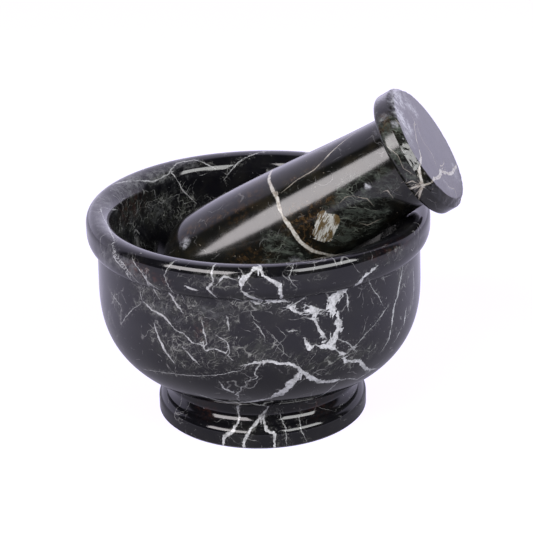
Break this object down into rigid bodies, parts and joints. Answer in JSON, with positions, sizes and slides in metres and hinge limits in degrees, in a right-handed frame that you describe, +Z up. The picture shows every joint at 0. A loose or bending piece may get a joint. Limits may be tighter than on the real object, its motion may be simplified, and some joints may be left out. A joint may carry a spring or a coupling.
{
  "type": "mortar and pestle",
  "caption": "Footed stone mortar with a round collar at the rim, and a club-shaped stone pestle with a flat round knob, resting in the bowl.",
  "frame": {"origin": "centre of the flat underside of the mortar's foot", "axes": "+Z up along the mortar's axis, +X the way the resting pestle's knob leans out of the bowl"},
  "size_m": [0.1095, 0.1, 0.0993],
  "materials": {
    "mortar_marble": "polished black marble with white calcite veins and grey-green brecciated patches",
    "pestle_marble": "polished black-green marble with white, ochre and rust-brown veins and patches"
  },
  "bodies": {
    "mortar": {"mortar": "mortar_marble"},
    "pestle": {"pestle": "pestle_marble"}
  },
  "joints": [
    {"name": "pestle_lift", "type": "slide", "parent": "mortar", "child": "pestle", "axis": [0, 0, 1], "range_m": [0, 0.08]}
  ]
}
